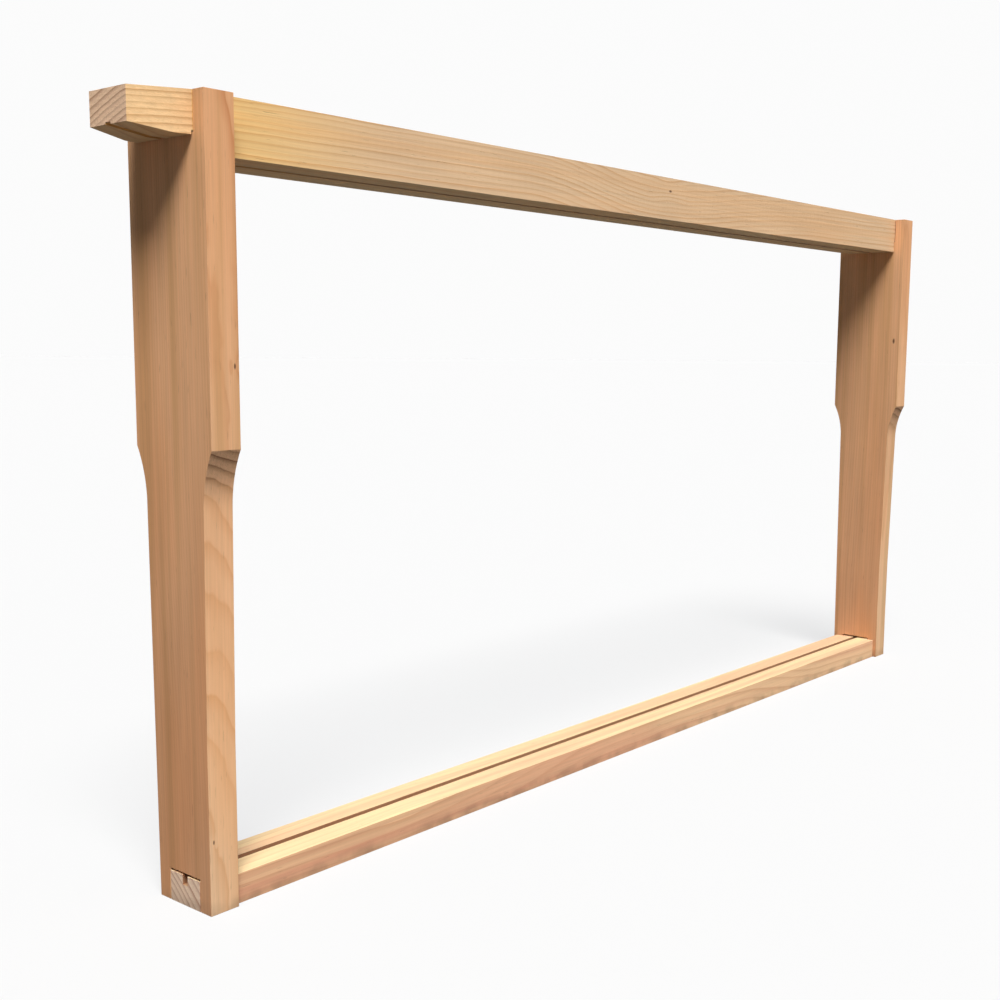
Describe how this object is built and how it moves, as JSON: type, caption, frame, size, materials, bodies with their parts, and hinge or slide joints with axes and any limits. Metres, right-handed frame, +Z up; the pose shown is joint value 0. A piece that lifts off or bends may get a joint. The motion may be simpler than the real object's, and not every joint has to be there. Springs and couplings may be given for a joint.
{
  "type": "wooden hive frame",
  "caption": "Deep hanging hive frame of plain softwood: top bar with tapered lugs, shouldered self-spacing end bars and a grooved bottom bar, nailed together.",
  "frame": {"origin": "middle of the footprint, on the surface that the end bars stand on", "axes": "+X along the frame towards the right lug, +Y across it, +Z up"},
  "size_m": [0.483, 0.035, 0.231],
  "materials": {
    "pine_top_bar": "planed, unfinished, matt",
    "pine_end_bar": "planed, unfinished, matt",
    "pine_bottom_bar": "planed, unfinished, matt",
    "nail_steel": "bright drawn wire"
  },
  "bodies": {
    "root": {"top_bar": "pine_top_bar", "end_bar_left": "pine_end_bar", "end_bar_right": "pine_end_bar", "bottom_bar": "pine_bottom_bar", "top_nail_left_front": "nail_steel", "top_nail_left_back": "nail_steel", "top_nail_right_front": "nail_steel", "top_nail_right_back": "nail_steel", "bottom_nail_left_front": "nail_steel", "bottom_nail_left_back": "nail_steel", "bottom_nail_right_front": "nail_steel", "bottom_nail_right_back": "nail_steel"}
  },
  "joints": []
}
